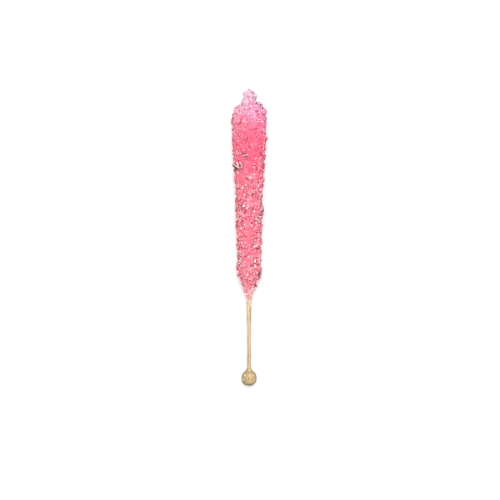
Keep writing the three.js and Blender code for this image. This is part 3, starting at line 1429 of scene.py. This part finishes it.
@dataclass
class Ball:
    """The turned ball at the stick's foot, with a small neck where the stick goes in.

    Attributes:
        line: The stick's line.
        neck: Stations along the neck and its radii, in millimetres.
        fullness: 2 for a round outline, and more for a squarer one.
        shading: How much more painted shade it gets towards its foot end.
        end_grain_and_shade: Where the darker end grain starts, as a share of the radius, and over
            what width; its darkness is partly painted shade.
        staining: How stained it is round the neck, and how much more so towards the foot end, where
            the rise is painted shade.
        rings: How many rings the ball has.
        sides: How many sides it has.
    """

    line: StickLine
    neck: tuple[Pair, ...] = ((8.65, 1.9), (9.0, 1.6), (9.5, 1.38), (10.0, 1.25))
    fullness: float = 2.25
    shading: float = 0.35
    end_grain_and_shade: Pair = (0.8, 0.15)
    staining: Pair = (0.15, 0.5)
    rings: int = 40
    sides: int = 56

    def build(self) -> None:
        """Builds and dresses the ball."""
        middle, radius = ball_shape()
        neck_radius = 2.3 * MM
        neck_angle = math.asin(neck_radius / radius)
        profile = []
        for angle in np.linspace(math.radians(2), math.pi - neck_angle, self.rings):
            cos, sin = math.cos(angle), math.sin(angle)
            out = radius / (abs(cos) ** self.fullness + sin**self.fullness) ** (1 / self.fullness)
            profile.append((radius - out * cos, out * sin))
        profile += [(along * MM, wide * MM) for along, wide in self.neck]
        piece = self.line.turned("turned_ball", profile, self.sides)
        only(piece)
        bpy.ops.object.shade_smooth_by_angle(angle=math.radians(60))
        place = (corners_of(piece) - np.array(middle)) / radius
        footwards = np.clip(-place[:, 1], 0, 1)
        # painted shade: the sides are shaded more towards the foot end
        upness = rows_of(piece.data.vertices, "normal")[:, 2] - self.shading * footwards**2
        start, width = self.end_grain_and_shade
        end_grain_and_shade = np.clip((footwards - start) / width, 0, 1)
        # painted shade: the stain rises towards the foot end, with the darker end grain at the pole
        least, rise = self.staining
        store(piece, upness=upness, stain=rise * footwards + least + end_grain_and_shade)
        dress(piece, VARNISHED_BIRCH.material(), "ball_wood", "ball")


# ---------- the studio ----------


@dataclass
class Softbox:
    """A square studio light that faces the middle of the object.

    Attributes:
        name: Its name.
        place: Where it stands, in metres.
        width: Its side.
        power: In watts.
        colour: Its colour.
    """

    name: str
    place: Triple
    width: float
    power: float
    colour: Colour = (1.0, 1.0, 1.0)

    def build(self) -> None:
        """Hangs the light."""
        bpy.ops.object.light_add(type="AREA", location=self.place)
        lamp = bpy.context.object
        lamp.name = self.name
        lamp.rotation_mode = "QUATERNION"
        lamp.rotation_quaternion = (-Vector(self.place)).to_track_quat("-Z", "Y")
        lamp.data.size = self.width
        lamp.data.energy = self.power
        lamp.data.color = self.colour


@dataclass
class Studio:
    """The floor, the lights and the camera.

    Attributes:
        picture: The picture's width and height, in pixels.
        pixel: The size of a pixel at the height of the stick, in metres.
        stick_column: The picture's column that the ball's middle falls on.
        tip_row: The row that the sugar's tip falls on.
        lens: The camera's focal length, in millimetres.
        ambient: The light from all round.
        floor_width: In metres.
    """

    picture: int = 500
    pixel: float = 0.5574 * MM
    stick_column: float = 249.0
    tip_row: float = 89.7
    lens: float = 100.0
    ambient: float = 0.75
    floor_width: float = 12.0

    def build(self) -> None:
        """Builds everything round the object."""
        bpy.ops.mesh.primitive_plane_add(size=self.floor_width)
        floor = bpy.context.object
        floor.name = "floor"
        floor.data.materials.append(FloorFinish().material())
        for lamp in SOFTBOXES:
            lamp.build()
        world = bpy.data.worlds.new("studio")
        world.use_nodes = True
        backdrop = world.node_tree.nodes["Background"]
        backdrop.inputs["Color"].default_value = (1, 1, 1, 1)
        backdrop.inputs["Strength"].default_value = self.ambient
        bpy.context.scene.world = world
        bpy.context.scene.view_settings.view_transform = "Standard"
        self.add_camera()

    def add_camera(self) -> None:
        """Puts the camera above the object, looking straight down, with +Y at the top."""
        ball, _ = ball_shape()
        bpy.ops.object.camera_add(rotation=(0, 0, 0))
        camera = bpy.context.object
        camera.data.lens = self.lens
        seen = self.picture * self.pixel
        distance = seen * self.lens / camera.data.sensor_width
        middle = self.picture / 2
        camera.location = (
            ball.x + (middle - self.stick_column) * self.pixel,
            cad_box[1].y - (middle - self.tip_row) * self.pixel,
            ball.z + distance,
        )
        bpy.context.scene.camera = camera


# ---------- the finishes and lights of this sweet ----------

PINK_SUGAR = SugarFinish(
    name="pink_sugar",
    stops=(
        (-35.5, 240, 208, 174), (-33.5, 250, 190, 176), (-31, 250, 148, 160),
        (-27, 246, 137, 153), (-19, 250, 137, 155), (-1, 248, 116, 142), (20, 252, 126, 152),
        (32, 251, 120, 147), (50, 246, 97, 134), (57, 244, 111, 145), (65, 244, 138, 173),
        (70, 243, 169, 205), (73, 246, 183, 215), (76, 252, 200, 224),
    ),
    deep=srgb(160, 14, 58),
    side_shade=srgb(140, 66, 80),
    frost=srgb(255, 222, 226),
    matting=(12 * MM, 34 * MM),
)
CLEAR_SUGAR = SugarFinish(
    name="clear_sugar",
    stops=((70, 246, 187, 215), (82, 247, 213, 233)),
    deep=srgb(184, 74, 134),
    side_shade=srgb(150, 90, 122),
    frost=srgb(255, 240, 246),
    see_through=0.2,
    rim=0.45,
)
# the slabs' colours: near-white painted glints, and a dark brown that paints shade
GLINTING_SUGAR = SugarFinish(
    name="glinting_sugar",
    stops=(
        (-40, 255, 236, 228), (34, 255, 236, 228), (36, 255, 228, 218),
        (43, 255, 228, 218), (46, 255, 234, 238), (80, 255, 234, 238),
    ),
    deep=srgb(84, 26, 32),
    side_shade=srgb(84, 26, 32),
    frost=srgb(255, 176, 200),
    glow=0.2,
)
# each row holds the fields of a ClearPlace, in their order
SLABS = (
    # the knob's dark outline, painted shade
    (164.3, -0.1, 0.45, 1.5, 25, 1.2, 0.25, 0.6, 0.7),
    (162.9, 1.6, 2.0, 0.5, -10, 1.2, 0.3, 0.7, 0.6),
    (161.9, 3.0, 1.6, 0.55, -40, 1.2, 0.3, 0.7, 0.6),
    (160.2, 4.0, 1.6, 0.5, -70, 1.2, 0.3, 0.6, 0.7),
    # the dark marks along the shoulder, painted shade
    (156.2, -3.7, 0.5, 1.2, -60, 1.2, 0.3, 0.6, 0.7),
    (154.4, -6.6, 0.5, 1.4, -45, 1.2, 0.3, 0.6, 0.7),
    (148.1, -9.1, 0.5, 1.5, 0, 1.2, 0.3, 0.7, 0.6),
    (155.8, 6.9, 0.5, 1.5, 60, 1.2, 0.3, 0.7, 0.6),
    (152.2, 9.0, 0.5, 1.4, 20, 1.2, 0.3, 0.6, 0.7),
    (146.3, 8.6, 0.5, 1.2, -20, 1.2, 0.3, 0.6, 0.6),
    # the stepped crystal near the left side: light bars of painted glints, dark ones of painted
    # shade
    (121.75, -6.7, 0.95, 4.2, 53, 1.6, 0.95),
    (123.0, -6.1, 0.8, 2.6, 33, 1.6, 0.95),
    (122.7, -4.15, 0.8, 3.4, 38, 1.6, 0.85),
    (121.15, -7.2, 0.75, 4.8, 53, 1.4, 0.85, 1.0, 0.1),
    (122.85, -6.8, 1.2, 3.1, 45, 1.4, 0.65, 0.6, 0.3),
    (121.75, -4.7, 0.9, 2.4, 45, 1.4, 0.8, 1.0, 0.1),
    (122.9, -3.4, 0.5, 2.2, 40, 1.4, 0.7, 1.0, 0.3),
    # the thin curved one above it: a painted highlight with painted dark lines
    (127.6, -2.7, 2.0, 0.6, 18, 1.2, 0.5, -1.0, 0.8),
    (127.9, -1.2, 1.8, 0.5, 2, 1.2, 0.45, -1.0, 0.9),
    (128.15, -3.0, 2.6, 0.5, 26, 1.2, 0.5, 1.0, 0.3),
    (128.8, -1.9, 1.4, 0.45, 4, 1.2, 0.5, 1.0, 0.3),
    (127.05, -1.4, 2.6, 0.5, 4, 1.2, 0.45, 1.0, 0.4),
    # a pale pink one
    (67.2, -2.9, 1.6, 2.2, 20, 1.2, 0.2, 0.35, 0.8),
    # the other light ones, painted glints, from the tip down
    (146.2, 7.4, 1.4, 0.7, 20), (126.0, 3.7, 1.4, 0.8, 60), (109.0, 6.5, 1.4, 0.8, 70),
    (101.0, 3.7, 1.3, 0.6, 10), (100.9, -3.1, 0.6, 0.6), (100.0, -2.7, 1.4, 1.2, -30),
    (96.9, 2.8, 0.7, 1.7, -20), (95.0, 1.9, 1.3, 0.6, 30), (94.3, 5.8, 0.7, 1.7, 45),
    (92.9, 3.9, 1.1, 1.2), (91.5, 5.6, 1.2, 0.6), (89.3, 1.4, 0.7, 1.7, 35),
    (88.0, 3.5, 1.4, 0.6, -35), (79.8, -3.8, 0.7, 1.4, -30), (77.5, 2.8, 1.4, 0.8, -35),
    (70.9, -4.5, 1.0, 0.6, -30), (69.8, -5.0, 0.6, 1.2, 45), (69.5, 3.3, 1.1, 2.0, -10),
    (68.4, -5.5, 0.9, 1.1, 45), (66.7, 3.4, 1.2, 2.2, 5), (63.2, 4.5, 1.1, 0.7),
    (62.5, 3.0, 0.7, 0.7), (62.0, -0.8, 0.8, 1.4, 15), (58.4, 4.7, 0.8, 1.2, 30),
    (58.0, -3.6, 0.7, 1.4, -40),
)
# what shade() takes, from the tip down: painted dark marks
SHADES = (
    (101.5, -2.95, 1.2, 0.5), (101.2, 7.1, 0.5, 1.0), (101.0, -3.8, 0.5, 0.6, 45),
    (100.8, -1.9, 0.5, 1.4, 45), (100.0, -4.6, 0.5, 1.2, 45), (99.3, -2.2, 1.2, 0.5),
    (97.0, 7.5, 0.5, 1.8), (94.8, 6.4, 0.6, 0.8, 45), (93.3, 3.1, 0.5, 1.4, 10),
    (93.2, 4.75, 0.5, 1.0), (92.1, 5.75, 1.2, 0.5), (90.9, 4.75, 0.6, 0.6),
    (90.4, 5.6, 1.3, 0.5), (81.7, -5.9, 0.5, 1.2), (74.2, 6.7, 0.6, 2.0, -5),
    (70.9, -5.2, 0.5, 0.8), (70.3, -4.6, 0.6, 0.6), (70.0, 2.3, 0.5, 1.2, -30),
    (70.0, 4.5, 0.5, 1.2, 45), (69.6, -5.7, 0.5, 0.9), (68.6, -6.2, 0.5, 1.4),
    (68.1, 3.5, 1.2, 0.5), (67.4, -5.5, 1.1, 0.5), (67.3, 4.6, 0.5, 1.2),
    (67.0, 2.5, 0.5, 1.0), (65.3, 3.2, 1.4, 0.5), (62.9, 5.2, 0.6, 1.1),
    (61.9, 5.6, 0.5, 1.6, -10), (61.5, 3.9, 1.0, 0.5), (56.5, 3.4, 0.5, 1.8, -25),
    (56.0, -3.2, 0.5, 2.6, 41),
)
# what glint() takes, from the tip down: painted glints
GLINTS = (
    (146.6, 5.2, 1.8, -10), (110.8, -1.4, 1.7, 30), (98.6, 5.8, 1.8, 45),
    (84.1, 5.6, 1.8, 25), (79.2, 5.7, 2.6, 150),
)
CLEAR_PLACES = (
    *(ClearPlace(*numbers) for numbers in SLABS),
    *(shade(*numbers) for numbers in SHADES),
    *(place for numbers in GLINTS for place in glint(*numbers)),
)
BIRCH = WoodFinish(
    name="birch",
    pale=srgb(211, 197, 165),
    dark=srgb(182, 158, 122),
    fleck=srgb(156, 124, 90),
    side_shade=srgb(132, 110, 80),
    grain=0.95 * MM,
    pores=0.4 * MM,
    stretch=50,
    varnish=0.05,
    roughness=0.55,
)
VARNISHED_BIRCH = WoodFinish(
    name="varnished_birch",
    pale=srgb(224, 200, 145),
    dark=srgb(166, 132, 84),
    fleck=srgb(72, 48, 24),
    side_shade=srgb(102, 72, 36),
    grain=0.9 * MM,
    pores=0.5 * MM,
    stretch=1.5,
    varnish=0.9,
    roughness=0.35,
    stain=srgb(150, 118, 82),
    sides=(0.75, 0.35),
)
SOFTBOXES = (
    Softbox("key", (0.05, 0.62, 1.0), 0.4, 4.6),
    Softbox("overhead", (0.0, 0.3, 1.3), 1.0, 8.4),
    Softbox("warm_side", (-0.8, -0.25, 0.9), 0.8, 1.4, (1.0, 0.96, 0.88)),
    Softbox("cool_side", (0.85, -0.1, 0.9), 0.8, 1.2, (0.95, 0.92, 1.0)),
)


def main() -> None:
    """Builds the parts in order."""
    logging.basicConfig(level=logging.INFO, format="%(name)s: %(message)s")
    bpy.ops.object.select_all(action="DESELECT")
    line = StickLine.from_frame()
    for part in (Studio(), Sugar(line), Stick(line), Ball(line)):
        LOG.info("building %s", type(part).__name__)
        part.build()


if __name__ == "__main__":
    main()
